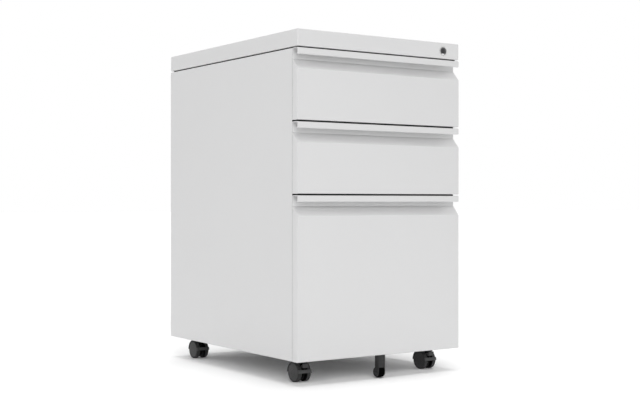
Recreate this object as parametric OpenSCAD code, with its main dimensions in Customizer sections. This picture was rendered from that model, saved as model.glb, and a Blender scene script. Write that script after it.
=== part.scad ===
// Three-drawer mobile pedestal: two box drawers over one file drawer, on four twin-wheel casters.
// Millimetres, +Z up. The floor is z = 0, the front faces -Y and the origin is under the middle.

/* [Cabinet] */
// Overall width
body_w = 390; // [360:1:440]
// Depth from the drawer fronts to the back
body_d = 513; // [500:1:580]
// Height of the cabinet above the bottom edge of its side panels
body_h = 616; // [600:1:680]
// Thickness of the steel sheet of the casing and the drawer fronts
sheet_t = 1; // [0.8:0.1:1.2]
// Inside radius of every bend in that sheet
bend_r = 0.8; // [0.5:0.1:1.5]
// Width of the flanges turned in along the side panels' edges
flange_w = 15; // [15:0.5:18]
// Thickness of the base pan and the front rail
frame_t = 1.2; // [1:0.1:1.5]
// Height of the rail across the front, above the top drawer
rail_h = 20; // [16:1:22]
// Depth of that rail's two flanges
rail_flange = 12; // [9:0.5:13]

/* [Top cover] */
// Height of the top cover
top_h = 32; // [31:0.5:36]
// Radius of the cover's outer edges
top_edge_r = 1.8; // [1.2:0.1:2.5]
// Height of the shadow gap under the cover
top_gap = 2; // [1.5:0.1:3]
// How far the spacer in that gap stands in from the front and the back
gap_inset = 7.5; // [6:0.5:9]
// How far that spacer stands in from the sides
gap_side_inset = 4.5; // [4:0.5:6]
// Width of the spacer's side and rear strips
spacer_w = 8; // [6:0.5:9]
// Width of the lip turned in under the cover's sides and back
lip_w = 16; // [14:0.5:18]
// Width of the lip turned in under the cover's front
front_lip_w = 29; // [27:0.5:30]

/* [Drawer fronts] */
// Spacing of the drawers, from the top of one front to the top of the next
drawer_pitch = 136.5; // [132:0.5:142]
// Gap between one front and the next
front_gap = 2.8; // [2:0.1:3.2]
// Thickness of a drawer front
front_t = 18; // [17:0.5:20]
// Seam between a drawer front and the casing behind it
front_seam = 1; // [0.4:0.1:1.2]
// Running gap between the top front and the spacer above it
front_clear = 0.4; // [0.3:0.1:0.8]
// Height of the lip that hangs down at the top of a pull
pull_lip_h = 12.4; // [10:0.1:13]
// How far that lip's lower edge turns in
pull_hem = 3; // [2.5:0.1:4]
// Height of the upright wall at the back of a pull, from the top of the front
pull_wall_h = 20.1; // [19:0.1:22]
// Height at which a pull's slope reaches the face, from the top of the front
pull_h = 38.8; // [36:0.1:41]

/* [Trays] */
// Sheet thickness of the trays
tray_t = 0.8; // [0.7:0.05:1]
// Length of the trays behind the fronts
tray_l = 470; // [462:1:480]
// Height of a tray's floor above the lower edge of its front
tray_rise = 12; // [10:0.5:14]
// Height of the box drawers' sides
box_side_h = 95; // [85:1:96]
// Distance from the top of the file drawer's front down to the upper edge of its tray's sides
file_headroom = 46.6; // [40:0.1:60]
// Height of the folded hem along a tray's upper edges
hem_h = 8; // [6:0.5:10]
// Thickness of the bars that hanging folders ride on
bar_t = 3; // [2.5:0.1:4]
// Height of those bars
bar_h = 14; // [12:0.5:16]
// Distance from the file tray's sides to the middles of those bars
bar_inset = 7.3; // [5:0.1:11]
// How far those bars' upper edges stand above the file tray's sides
bar_rise = 6; // [4:0.5:8]

/* [Slides] */
// Width of a slide
slide_w = 12.7; // [12.7:0.1:13]
// Length of a slide
slide_l = 450; // [446:1:455]
// Setback of the slides from the casing's front edge
slide_setback = 2; // [1:0.5:4]
// Thickness of a slide's steel
slide_t = 1.2; // [1.1:0.05:1.2]
// Half the height of the box drawers' slides
box_slide_r = 17.5; // [17:0.1:19]
// Half the height of the file drawer's slides
file_slide_r = 22.5; // [22:0.1:24]
// Diameter of the bearing balls
ball_d = 3.9; // [3.7:0.05:4]
// Running clearance on each side of a ball
ball_clear = 0.05; // [0.03:0.01:0.1]
// Thickness of the ball cages
cage_t = 0.6; // [0.4:0.05:0.6]
// Spacing of the balls in a row
ball_pitch = 22; // [20:1:24]
// Balls in each row of a box drawer's slide
box_balls = 5; // [4:1:5]
// Balls in each row of the file drawer's slide
file_balls = 8; // [6:1:8]
// Height of the box drawers' slides above the tray floor
box_slide_rise = 30; // [28:1:34]
// Height of the file drawer's slides above the tray floor
file_slide_rise = 75; // [65:1:90]
// Width of an upright that carries the slides
upright_w = 30; // [26:1:34]
// Distance from the casing's front edge to the front uprights
front_upright_y = 36; // [35:1:45]
// Distance from the back to the rear uprights
rear_upright_y = 45; // [40:1:60]

/* [Lock] */
// Distance from the right side to the lock's middle
lock_inset = 41; // [38:1:46]
// Depth of the lock's middle below the top
lock_drop = 17; // [14:0.5:18]
// Diameter of the lock's rim
rim_d = 19; // [17:0.5:21]
// Diameter of the dish in the lock's face
dish_d = 15; // [13:0.5:16]
// How far the rim stands proud of the cover
lock_proud = 1; // [0.6:0.1:1.5]
// Diameter of the lock's barrel
barrel_d = 14.6; // [14:0.1:15]
// Length of the barrel behind the cover's face
barrel_l = 26.7; // [25:0.1:27]
// Diameter of the turning plug
plug_d = 11; // [10:0.1:11.5]
// How far the plug's face lies below the rim
plug_sink = 1.6; // [1:0.1:2.5]
// Width of the slot for the key
key_w = 1.6; // [1.2:0.1:2]
// Height of the slot for the key
key_h = 7; // [5:0.5:8]
// Distance from the plug's axis to the cam's pin
cam_r = 8; // [7:0.1:8.5]
// Diameter of the cam's pin
cam_pin_d = 4; // [3:0.1:4.5]
// Thickness of the cam
cam_t = 2.2; // [1.8:0.1:2.5]
// Thickness of the lock bar
lock_bar_t = 3; // [2.5:0.1:3.5]
// Width of the lock bar
lock_bar_w = 12; // [10:0.5:13]
// Gap between the lock bar and the slides' backs
lock_bar_gap = 3; // [2.5:0.1:4]
// Height of the lock bar's fingers
finger_h = 8; // [6:0.5:9]
// Thickness of the lock bar's fingers and the catches
catch_t = 3; // [2.5:0.1:3.5]
// How far the catches stand out from the trays
catch_w = 10; // [8:0.5:10.4]
// Height of the catches
catch_h = 12; // [10:0.5:14]
// Free height between a slide, a finger at rest and its catch
catch_gap = 2; // [1.8:0.1:3]

/* [Casters] */
// Diameter of the caster wheels
wheel_d = 37; // [36:0.5:40]
// Width of one wheel
wheel_w = 9.3; // [8.5:0.1:10]
// Width between a caster's two wheels
wheel_space = 12; // [12:0.1:13]
// Radius of a wheel's outer edge
wheel_edge_r = 2.4; // [1.8:0.1:3]
// Radius of a wheel's hub cap
hub_r = 13.4; // [12:0.1:14]
// Diameter of the axles
axle_d = 6; // [5:0.1:7]
// Distance from a caster's swivel axis forward to its wheels' axle
trail = 14; // [13:0.5:15]
// Gap between a wheel and its fender
fender_gap = 0.5; // [0.5:0.1:0.8]
// Thickness of the fender
fender_t = 1.4; // [1.4:0.1:1.8]
// Gap between the fender and the fixing plate
hood_gap = 5.1; // [3:0.1:6]
// Thickness of the fixing plates
plate_t = 2; // [1.6:0.1:2.5]
// Side of the square fixing plates
plate_w = 36; // [32:1:38]
// Diameter of the kingpins
kingpin_d = 7; // [6:0.1:7.4]
// Outer diameter of the sockets that turn on the kingpins
socket_d = 11; // [10.6:0.1:11.4]
// Distance from the sides to the casters' middles
caster_in = 42; // [42:0.5:50]
// Distance from the fronts to the front wheels' axle
caster_front = 58; // [56:1:70]
// Distance from the back to the rear wheels' axle
caster_rear = 52; // [52:1:64]
// Height of the fender's lower front edge above the floor
band_z = 18; // [16:0.5:19]
// Height of the band across the front of the fender
band_h = 6.4; // [5:0.1:6.6]
// Width of the brake pedal
pedal_w = 12.4; // [11:0.1:13]
// Height of the brake pedal
pedal_h = 8; // [7:0.1:9]
// Height of the pedal's lower edge above the floor
pedal_z = 28.4; // [28:0.1:29]
// Thickness of the pedal's pad
pedal_t = 3; // [2.5:0.1:3.5]
// Diameter of the brake levers' pivot
brake_pin_d = 4; // [3:0.1:4.4]

/* [Fifth wheel] */
// Width of the fifth wheel's bracket
fork_w = 16; // [15:0.5:18]
// Thickness of that bracket's steel
fork_t = 1.5; // [1.2:0.1:2]
// Setback of the bracket from the drawer front
fork_setback = 0.8; // [0.5:0.1:2]
// Depth of the bracket's two cheeks
fork_depth = 12; // [11:0.5:14]
// How far the bracket's front web reaches below the roller's top
fork_lap = 1.6; // [1:0.1:2]
// Diameter of the roller
roller_d = 21; // [20:0.5:21.5]
// Running gap beside the roller
roller_gap = 0.4; // [0.3:0.1:0.6]
// Clearance of the roller above the floor
roller_lift = 1.2; // [1:0.1:2]
// Diameter of the roller's axle
roller_axle_d = 5; // [4:0.1:6]

/* [Clearances] */
// Gap where a flat piece slides past another
slide_clear = 0.3; // [0.2:0.05:0.5]
// Gap on each side of a shaft that turns in a hole
turn_clear = 0.05; // [0.03:0.01:0.1]
// Play of the cam's pin in the lock bar's slot
slot_play = 0.6; // [0.5:0.1:1]

/* [Hidden] */
$fn = 64;

paint = [0.86, 0.86, 0.85];
inside = [0.80, 0.80, 0.79];
zinc = [0.70, 0.71, 0.72];
nylon = [0.16, 0.16, 0.17];
shade = [0.08, 0.08, 0.08];

// Heights
wheel_r = wheel_d / 2;
hood_r = wheel_r + fender_gap + fender_t;
plate_z = wheel_r + hood_r + hood_gap;
body_z = plate_z + plate_t - sheet_t;
top_z = body_z + body_h;
cover_z = top_z - top_h;
shell_z = cover_z - top_gap;
base_z = body_z + sheet_t;
lock_z = top_z - lock_drop;

// Depths
back_y = (body_d + lock_proud) / 2;
front_y = back_y - body_d;
tray_y = front_y + front_t;
shell_y = tray_y + front_seam;
tray_end = tray_y + tray_l;
slide_y = shell_y + slide_setback;

// Widths
half_w = body_w / 2;
inner_x = half_w - sheet_t;
flat_x = inner_x - bend_r;
slide_x = half_w - flange_w;
tray_x = slide_x - slide_w;
folder_bar_x = tray_x - bar_inset;

// Drawers, counted from the top: 0 and 1 are box drawers, 2 is the file drawer
function is_file(i) = i == 2;
function front_top(i) = shell_z - front_clear - i * drawer_pitch;
function front_bottom(i) = is_file(i) ? body_z : front_top(i) - drawer_pitch + front_gap;
function front_h(i) = front_top(i) - front_bottom(i);
function floor_z(i) = front_bottom(i) + tray_rise;
function side_h(i) = is_file(i) ? front_top(i) - file_headroom - floor_z(i) : box_side_h;
function slide_z(i) = floor_z(i) + (is_file(i) ? file_slide_rise : box_slide_rise);
function slide_r(i) = is_file(i) ? file_slide_r : box_slide_r;
function finger_z(i) = slide_z(i) + slide_r(i) + catch_gap;
function catch_z(i) = finger_z(i) + finger_h + catch_gap;

// Slides: each channel nests in the next with one ball and its clearances between them
ball_room = ball_d + 2 * ball_clear;
channel_step = ball_room + slide_t;
middle_r = file_slide_r - channel_step;
file_inner_r = middle_r - channel_step;
box_inner_r = box_slide_r - channel_step;
web_gap = 1;
middle_web = slide_t + web_gap;
rail_tip = 10.5;
inner_tip = 4.5;
middle_tip = 11;
cage_strip = 6;
pocket_clear = 0.15;
box_cage_web = 2.6;
box_ball_u = 7.4;
outer_ball_u = 7;
inner_ball_u = 7.6;
slide_run = [slide_y, slide_y + slide_l];
box_cage_y = slide_y + slide_l / 2 - 57;
file_cage_y = slide_y + (slide_l - file_balls * ball_pitch) / 2;

// Lock and lock bar
lock_x = half_w - lock_inset;
bar_x = slide_x + lock_bar_gap;
cam_y = front_y + barrel_l + slide_clear;
lock_arm_y = cam_y + cam_t + 4.8;
lock_bar_y = lock_arm_y;
finger_y = lock_bar_y + 6;
catch_y = finger_y + catch_t + 4;
catch_foot = 20;
cam_drop = cam_r * sin(45);
slot_z = lock_z - cam_drop;
arm_h = 8;
arm_z = shell_z - rail_h - 2;

// Casters, as [side, end]: front left, front right, rear left, rear right
caster_places = [[-1, -1], [1, -1], [-1, 1], [1, 1]];
caster_x = half_w - caster_in;
wheel_x = wheel_space / 2;
caster_w = wheel_space + 2 * wheel_w;
function caster_y(end) = (end < 0 ? front_y + caster_front : back_y - caster_rear) + trail;
axle = [-trail, wheel_r];
brake_pin = axle + [-7, 13];
hood_web_t = 2.6;
socket_z = wheel_r + 6;
kingpin_z = socket_z + 1;

// Fifth wheel
cheek_r = 9;
roller_y = front_y + fork_setback + cheek_r;
roller_z = roller_lift + roller_d / 2;

// ---------------------------------------------------------------- shapes

module block(x, y, z) {
    translate([x[0], y[0], z[0]]) cube([x[1] - x[0], y[1] - y[0], z[1] - z[0]]);
}

// Extrudes a (Y, Z) outline along X
module along_x(x) {
    translate([x[0], 0, 0]) rotate([90, 0, 90]) linear_extrude(x[1] - x[0]) children();
}

// Extrudes an (X, Z) outline along Y
module along_y(y) {
    translate([0, y[1], 0]) rotate([90, 0, 0]) linear_extrude(y[1] - y[0]) children();
}

// Extrudes an (X, Y) outline along Z
module along_z(z) {
    translate([0, 0, z[0]]) linear_extrude(z[1] - z[0]) children();
}

module rod_x(x, at, d) {
    translate([x[0], at[0], at[1]]) rotate([0, 90, 0]) cylinder(d = d, h = x[1] - x[0]);
}

module rod_y(y, at, d) {
    translate([at[0], y[1], at[1]]) rotate([90, 0, 0]) cylinder(d = d, h = y[1] - y[0]);
}

module both_sides() {
    children();
    mirror([1, 0, 0]) children();
}

// Bent sheet: the path is one face of the sheet, whose thickness lies to the left of it
function unit(v) = v / norm(v);
function left_of(u) = [-u[1], u[0]];
function turn(u, v) = atan2(u[0] * v[1] - u[1] * v[0], u[0] * v[0] + u[1] * v[1]);
function angle_of(u) = atan2(u[1], u[0]);
function heading(path, i) = unit(path[i + 1] - path[i]);

// A bend at vertex i, as points on the face that lies off to the left of the path
function bend(path, i, off, t, steps = 4) =
    let (u = heading(path, i - 1))
    let (a = turn(u, heading(path, i)))
    let (s = sign(a))
    let (r = bend_r + (s > 0 ? t : 0))
    let (centre = path[i] - u * r * tan(abs(a) / 2) + left_of(u) * s * r)
    [for (k = [0 : steps]) let (b = angle_of(left_of(u)) + a * k / steps)
        centre + (off - s * r) * [cos(b), sin(b)]];

function face_line(path, off, t) =
    let (n = len(path) - 1)
    [path[0] + left_of(heading(path, 0)) * off,
     for (i = [1 : n - 1]) each bend(path, i, off, t),
     path[n] + left_of(heading(path, n - 1)) * off];

function backwards(list) = [for (i = [len(list) - 1 : -1 : 0]) list[i]];

module bent_sheet(path, t = sheet_t) {
    polygon(concat(face_line(path, 0, t), backwards(face_line(path, t, t))));
}

// A rectangle with true round corners
module round_rect(x, y, r) {
    translate([x[0] + r, y[0]]) square([x[1] - x[0] - 2 * r, y[1] - y[0]]);
    translate([x[0], y[0] + r]) square([x[1] - x[0], y[1] - y[0] - 2 * r]);
    for (cx = [x[0] + r, x[1] - r], cy = [y[0] + r, y[1] - r])
        translate([cx, cy]) circle(r);
}

// ---------------------------------------------------------------- casing

// Each side is a sheet with flanges turned in along all four edges
module side_panels() {
    path = [[slide_x, shell_y], [half_w, shell_y], [half_w, back_y], [slide_x, back_y]];
    out_x = half_w - sheet_t / 2;
    run = [shell_y + sheet_t / 2, back_y - sheet_t / 2];
    color(paint) both_sides() {
        along_z([body_z, shell_z]) bent_sheet(path);
        block([slide_x, out_x], run, [shell_z - sheet_t, shell_z]);
        block([slide_x, out_x], run, [body_z, base_z]);
    }
}

module back_panel() {
    face = back_y - sheet_t;
    high = shell_z - sheet_t;
    color(paint) union() {
        block([-flat_x, flat_x], [face - sheet_t, face], [base_z, high]);
        block([-slide_x, slide_x], [face - lip_w, face], [high, shell_z]);
    }
}

module base_pan() {
    color(paint)
        block([-flat_x, flat_x], [shell_y + sheet_t, back_y - 2 * sheet_t], [base_z, base_z + frame_t]);
}

module front_rail() {
    low = shell_z - rail_h;
    back = shell_y + rail_flange;
    color(paint) along_x([-slide_x, slide_x])
        bent_sheet([[back, shell_z], [shell_y, shell_z], [shell_y, low], [back, low]], frame_t);
}

module top_cover() {
    inner_y = [front_y + sheet_t, back_y - sheet_t];
    mouth_y = [front_y + front_lip_w, back_y - lip_w];
    mouth_x = half_w - lip_w;
    color(paint) difference() {
        intersection() {
            along_z([cover_z, top_z]) round_rect([-half_w, half_w], [front_y, back_y], top_edge_r);
            along_x([-half_w, half_w])
                round_rect([front_y, back_y], [cover_z - top_edge_r, top_z], top_edge_r);
            along_y([front_y, back_y])
                round_rect([-half_w, half_w], [cover_z - top_edge_r, top_z], top_edge_r);
        }
        block([-inner_x, inner_x], inner_y, [cover_z + sheet_t, top_z - sheet_t]);
        block([-mouth_x, mouth_x], mouth_y, [cover_z - 1, cover_z + 2 * sheet_t]);
        rod_y([front_y - 1, front_y + 2 * sheet_t], [lock_x, lock_z], barrel_d);
    }
}

module top_spacer() {
    out_x = half_w - gap_side_inset;
    hole_x = out_x - spacer_w;
    out_y = [front_y + gap_inset, back_y - gap_inset];
    hole_y = [shell_y + rail_flange - 2, out_y[1] - spacer_w];
    color(shade) difference() {
        block([-out_x, out_x], out_y, [shell_z, cover_z]);
        block([-hole_x, hole_x], hole_y, [shell_z - 1, cover_z + 1]);
    }
}

module slide_uprights() {
    front = shell_y + front_upright_y;
    rear = back_y - rear_upright_y - upright_w;
    color(zinc) both_sides() for (y = [front, rear])
        along_z([base_z + frame_t, shell_z - sheet_t]) bent_sheet([
            [inner_x, y + upright_w], [slide_x, y + upright_w], [slide_x, y], [inner_x, y]
        ]);
}

// ---------------------------------------------------------------- slides

// A channel of the right-hand slide: its web at a depth u into the slide, its flanges to u = tip
module channel(z, r, web, tip, y) {
    x = function (u) slide_x - u;
    flange = [x(max(web + slide_t, tip)), x(min(web, tip))];
    block([x(web + slide_t), x(web)], y, [z - r, z + r]);
    block(flange, y, [z + r - slide_t, z + r]);
    block(flange, y, [z - r, z - r + slide_t]);
}

// A cage between two channels, with its two rows of balls, starting at y
module ball_cage(z, r, web, u, count, y) {
    run = [y, y + count * ball_pitch];
    x = slide_x - u;
    low_x = x - cage_strip / 2;
    high_x = slide_x - web;
    difference() {
        union() {
            block([high_x - cage_t, high_x], run, [z - r - cage_t / 2, z + r + cage_t / 2]);
            for (row = [z - r, z + r])
                block([low_x, high_x], run, [row - cage_t / 2, row + cage_t / 2]);
        }
        for (row = [z - r, z + r], k = [0 : count - 1])
            translate([x, y + (k + 0.5) * ball_pitch, row])
                cylinder(d = ball_d + 2 * pocket_clear, h = 4 * cage_t, center = true);
    }
    for (row = [z - r, z + r], k = [0 : count - 1])
        translate([x, y + (k + 0.5) * ball_pitch, row]) sphere(d = ball_d);
}

module outer_slide_rails() {
    color(zinc) both_sides() for (i = [0 : 2])
        channel(slide_z(i), slide_r(i), 0, rail_tip, slide_run);
}

module inner_rails(i) {
    r = is_file(i) ? file_inner_r : box_inner_r;
    color(zinc) both_sides() channel(slide_z(i), r, slide_w - slide_t, inner_tip, slide_run);
}

module box_ball_cages(i) {
    row = box_inner_r + ball_room / 2;
    color(zinc) both_sides()
        ball_cage(slide_z(i), row, box_cage_web, box_ball_u, box_balls, box_cage_y);
}

module file_middle_rails() {
    color(zinc) both_sides() channel(slide_z(2), middle_r, middle_web, middle_tip, slide_run);
}

module file_outer_ball_cages() {
    row = middle_r + ball_room / 2;
    web = slide_t + (web_gap - cage_t) / 2;
    color(zinc) both_sides()
        ball_cage(slide_z(2), row, web, outer_ball_u, file_balls, file_cage_y);
}

module file_inner_ball_cages() {
    row = file_inner_r + ball_room / 2;
    web = (middle_web + slide_t + inner_tip - cage_t) / 2;
    color(zinc) both_sides()
        ball_cage(slide_z(2), row, web, inner_ball_u, file_balls, file_cage_y);
}

// ---------------------------------------------------------------- drawers

// The front: one bent sheet from the pull's lip round to the lower return, closed at both ends
module drawer_front(i) {
    top = front_top(i);
    low = front_bottom(i);
    y = function (depth) front_y + depth;
    z = function (drop) top - drop;
    inner = front_t - sheet_t;
    pull = [
        [y(sheet_t + pull_hem), z(pull_lip_h - sheet_t)], [y(sheet_t), z(pull_lip_h - sheet_t)],
        [y(sheet_t), z(sheet_t)], [y(inner), z(sheet_t)], [y(inner), z(pull_wall_h)],
        [y(0), z(pull_h)], [y(0), low], [y(front_t), low]
    ];
    end = [
        [y(front_t), z(pull_wall_h)], [y(inner + bend_r / 2), z(pull_wall_h)],
        [y(sheet_t / 2), z(pull_h)], [y(sheet_t / 2), low + sheet_t / 2],
        [y(front_t), low + sheet_t / 2]
    ];
    color(paint) union() {
        along_x([-half_w, half_w]) bent_sheet(pull);
        both_sides() along_x([inner_x, half_w]) polygon(end);
    }
}

// The sheet that closes the front from behind and carries the tray
module drawer_liner(i) {
    color(inside) block([-inner_x, inner_x], [tray_y - sheet_t, tray_y],
        [front_bottom(i) + sheet_t, front_top(i) - pull_wall_h - 2 * sheet_t]);
}

// Both sides of a tray, each with a folded hem
module drawer_sides(i) {
    low = floor_z(i);
    high = low + side_h(i);
    color(inside) both_sides() {
        block([tray_x - tray_t, tray_x], [tray_y, tray_end], [low, high]);
        block([tray_x - 2 * tray_t, tray_x], [tray_y, tray_end - tray_t], [high - hem_h, high]);
    }
}

// The angle on a tray's right side that a raised finger of the lock bar stops
module drawer_catch(i) {
    z = [catch_z(i), catch_z(i) + catch_h];
    color(zinc) union() {
        block([tray_x, tray_x + catch_w], [catch_y, catch_y + catch_t], z);
        block([tray_x, tray_x + catch_t / 2], [catch_y, catch_y + catch_foot], z);
    }
}

module drawer_floor(i) {
    color(inside) block([tray_t - tray_x, tray_x - tray_t], [tray_y, tray_end - tray_t],
        [floor_z(i), floor_z(i) + tray_t]);
}

module drawer_back(i) {
    x = tray_x - tray_t;
    high = floor_z(i) + side_h(i) + (is_file(i) ? bar_rise : -hem_h);
    color(inside) block([-x, x], [tray_end - tray_t, tray_end], [floor_z(i), high]);
}

module hanging_folder_bars() {
    high = floor_z(2) + side_h(2) + bar_rise;
    run = [tray_y, tray_end - tray_t];
    color(zinc) both_sides()
        block([folder_bar_x - bar_t / 2, folder_bar_x + bar_t / 2], run, [high - bar_h, high]);
}

// ---------------------------------------------------------------- lock

module lock_barrel() {
    axis = [lock_x, lock_z];
    bore = plug_d + 2 * turn_clear;
    color(zinc) difference() {
        union() {
            rod_y([front_y - lock_proud, front_y], axis, rim_d);
            rod_y([front_y, front_y + barrel_l], axis, barrel_d);
        }
        rod_y([front_y - lock_proud - 1, front_y + barrel_l + 1], axis, bore);
        translate([lock_x, front_y - lock_proud, lock_z]) rotate([-90, 0, 0])
            cylinder(d1 = dish_d, d2 = bore, h = plug_sink);
    }
}

module lock_nut() {
    color(zinc) difference() {
        translate([lock_x, front_y + sheet_t, lock_z]) rotate([-90, 0, 0])
            cylinder(d = barrel_d + 7, h = 3, $fn = 6);
        rod_y([front_y, front_y + 2 * sheet_t + 3], [lock_x, lock_z], barrel_d);
    }
}

module lock_plug() {
    face = front_y - lock_proud + plug_sink;
    color(shade) difference() {
        rod_y([face, cam_y], [lock_x, lock_z], plug_d);
        block([lock_x - key_w / 2, lock_x + key_w / 2], [face - 1, face + 6],
            [lock_z - key_h / 2, lock_z + key_h / 2]);
    }
}

module lock_cam() {
    pin = [lock_x - cam_drop, slot_z];
    plate = [cam_y, cam_y + cam_t];
    color(zinc) union() {
        rod_y(plate, [lock_x, lock_z], plug_d);
        rod_y(plate, pin, cam_pin_d + 3);
        translate([lock_x, 0, lock_z]) rotate([0, -45, 0])
            block([-cam_r, 0], plate, [-cam_pin_d / 2, cam_pin_d / 2]);
        rod_y([plate[1], lock_arm_y + lock_bar_t + 1], pin, cam_pin_d);
    }
}

// The bar: an upright strip with a finger at each drawer, and an arm up to the cam
module lock_bar() {
    arm_y = [lock_arm_y, lock_arm_y + lock_bar_t];
    slot_r = cam_pin_d / 2 + slot_play;
    slot_x = [lock_x - cam_r, lock_x - cam_drop];
    riser_x = [slot_x[0] - slot_r - 3.5, slot_x[1] + slot_r + 3.5];
    color(zinc) difference() {
        union() {
            block([bar_x, bar_x + lock_bar_t], [lock_bar_y, lock_bar_y + lock_bar_w],
                [finger_z(2), arm_z + arm_h]);
            for (i = [0 : 2])
                block([tray_x + 2, bar_x + 1], [finger_y, finger_y + catch_t],
                    [finger_z(i), finger_z(i) + finger_h]);
            block([riser_x[0], bar_x + 1], arm_y, [arm_z, arm_z + arm_h]);
            block(riser_x, arm_y, [arm_z, slot_z + slot_r + 3]);
        }
        for (x = slot_x) rod_y([arm_y[0] - 1, arm_y[1] + 1], [x, slot_z], 2 * slot_r);
        block(slot_x, [arm_y[0] - 1, arm_y[1] + 1], [slot_z - slot_r, slot_z + slot_r]);
    }
}

module lock_bar_guides() {
    back_x = bar_x + lock_bar_t + slide_clear;
    wall = 2;
    y = [lock_bar_y - slide_clear, lock_bar_y + lock_bar_w + slide_clear];
    mouth = bar_x - slide_clear;
    color(nylon) for (i = [0 : 2]) let (z = [finger_z(i) + 36, finger_z(i) + 48]) {
        block([back_x, inner_x], [y[0] - wall, y[1] + wall], z);
        block([mouth - 1.2, back_x], [y[0] - wall, y[0]], z);
        block([mouth - 1.2, back_x], [y[1], y[1] + wall], z);
        block([mouth - 1.2, mouth], [y[1] - 2, y[1]], z);
        block([mouth - 1.2, mouth], [y[0], y[0] + 2], z);
    }
}

// ---------------------------------------------------------------- casters

module at_caster(i) {
    p = caster_places[i];
    translate([p[0] * caster_x, caster_y(p[1]), 0]) children();
}

screw_at = plate_w / 2 - 5;
screw_d = 3.5;

module caster_plates() {
    color(zinc) for (i = [0 : 3]) at_caster(i) difference() {
        block([-plate_w / 2, plate_w / 2], [-plate_w / 2, plate_w / 2], [plate_z, base_z]);
        for (x = [-1, 1], y = [-1, 1])
            translate([x * screw_at, y * screw_at, plate_z - 1]) cylinder(d = screw_d, h = plate_t + 2);
    }
}

// The kingpin under each plate and the four screws through it
module caster_fixings() {
    color(zinc) for (i = [0 : 3]) at_caster(i) {
        translate([0, 0, kingpin_z]) cylinder(d = kingpin_d, h = plate_z - kingpin_z);
        for (x = [-1, 1], y = [-1, 1]) translate([x * screw_at, y * screw_at, plate_z]) {
            translate([0, 0, -1]) cylinder(d = 2 * screw_d, h = 1);
            cylinder(d = screw_d, h = plate_t);
        }
    }
}

// The hood: a thin web between the wheels, a fender over them that is open in front above
// its band, and a socket for the kingpin
module caster_hood() {
    web_r = wheel_r - 3;
    web_x = hood_web_t / 2;
    far = 2 * hood_r;
    socket_h = plate_z - slide_clear - socket_z;
    boss_x = wheel_x - slide_clear;
    color(nylon) difference() {
        union() {
            rod_x([-web_x, web_x], axle, 2 * web_r);
            rod_x([-boss_x, boss_x], axle, axle_d + 7);
            rod_x([-boss_x, boss_x], brake_pin, brake_pin_d);
            translate([0, 0, socket_z]) cylinder(d = socket_d, h = socket_h);
            difference() {
                union() {
                    fender();
                    rod_x([-web_x, web_x], axle, 2 * hood_r - fender_t);
                }
                block([-far, far], [axle[0] - far, axle[0] + far], [-far, band_z]);
                block([-far, far], [axle[0] - far, axle[0] - 8], [band_z + band_h, far]);
            }
        }
        rod_x([-far, far], axle, axle_d + 2 * turn_clear);
        translate([0, 0, socket_z - 1]) cylinder(d = kingpin_d + 2 * turn_clear, h = far);
    }
}

module fender() {
    x = caster_w / 2;
    translate([-x, axle[0], axle[1]]) rotate([0, 90, 0]) rotate_extrude()
        polygon([[hood_r - fender_t, 0], [hood_r - 1, 0], [hood_r, 1], [hood_r, 2 * x - 1],
            [hood_r - 1, 2 * x], [hood_r - fender_t, 2 * x]]);
}

module caster_axle() {
    x = wheel_x + wheel_w - 2;
    color(zinc) rod_x([-x, x], axle, axle_d);
}

// Two wheels on one axle, each with a rounded outer edge and a hub cap
module caster_wheels() {
    e = wheel_edge_r;
    edge = [for (a = [0 : 15 : 90]) [wheel_r - e + e * cos(a), wheel_w - e + e * sin(a)]];
    cap = 0.4;
    color(nylon) both_sides() translate([wheel_x, axle[0], axle[1]]) rotate([0, 90, 0])
        difference() {
            rotate_extrude() polygon(concat([[0, 0], [wheel_r, 0]], edge,
                [[hub_r + cap, wheel_w], [hub_r, wheel_w - cap], [0, wheel_w - cap]]));
            translate([0, 0, -1]) cylinder(d = axle_d, h = wheel_w - 1);
        }
}

module caster_brake() {
    arm_x = [hood_web_t / 2 + slide_clear, wheel_x - 2 * slide_clear];
    front = axle[0] - hood_r + 1;
    pad_z = [pedal_z, pedal_z + pedal_h];
    color(nylon) difference() {
        union() {
            both_sides() {
                rod_x(arm_x, brake_pin, brake_pin_d + 3);
                block(arm_x, [front, brake_pin[0]], [brake_pin[1] - 3.5, brake_pin[1] + 1]);
            }
            block([-pedal_w / 2, pedal_w / 2], [front - pedal_t, front], pad_z);
        }
        rod_x([-wheel_space, wheel_space], brake_pin, brake_pin_d + 2 * turn_clear);
    }
}

// ---------------------------------------------------------------- fifth wheel

module fifth_wheel_bracket() {
    x = fork_w / 2;
    y = front_y + fork_setback;
    web_z = roller_z + roller_d / 2 - fork_lap;
    color(nylon) difference() {
        union() {
            block([-x, x], [y, roller_y + cheek_r], [body_z - fork_t, body_z]);
            block([-x, x], [y, y + fork_t], [web_z, body_z]);
            both_sides() {
                block([x - fork_t, x], [y, y + fork_depth], [roller_z, body_z]);
                rod_x([x - fork_t, x], [roller_y, roller_z], 2 * cheek_r);
            }
        }
        rod_x([-x - 1, x + 1], [roller_y, roller_z], roller_axle_d);
    }
}

module fifth_wheel_axle() {
    x = fork_w / 2 + 1;
    color(zinc) rod_x([-x, x], [roller_y, roller_z], roller_axle_d);
}

module fifth_wheel_roller() {
    x = fork_w / 2 - fork_t - roller_gap;
    color(shade) difference() {
        rod_x([-x, x], [roller_y, roller_z], roller_d);
        rod_x([-x - 1, x + 1], [roller_y, roller_z], roller_axle_d + 2 * turn_clear);
    }
}

// ---------------------------------------------------------------- nodes

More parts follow.
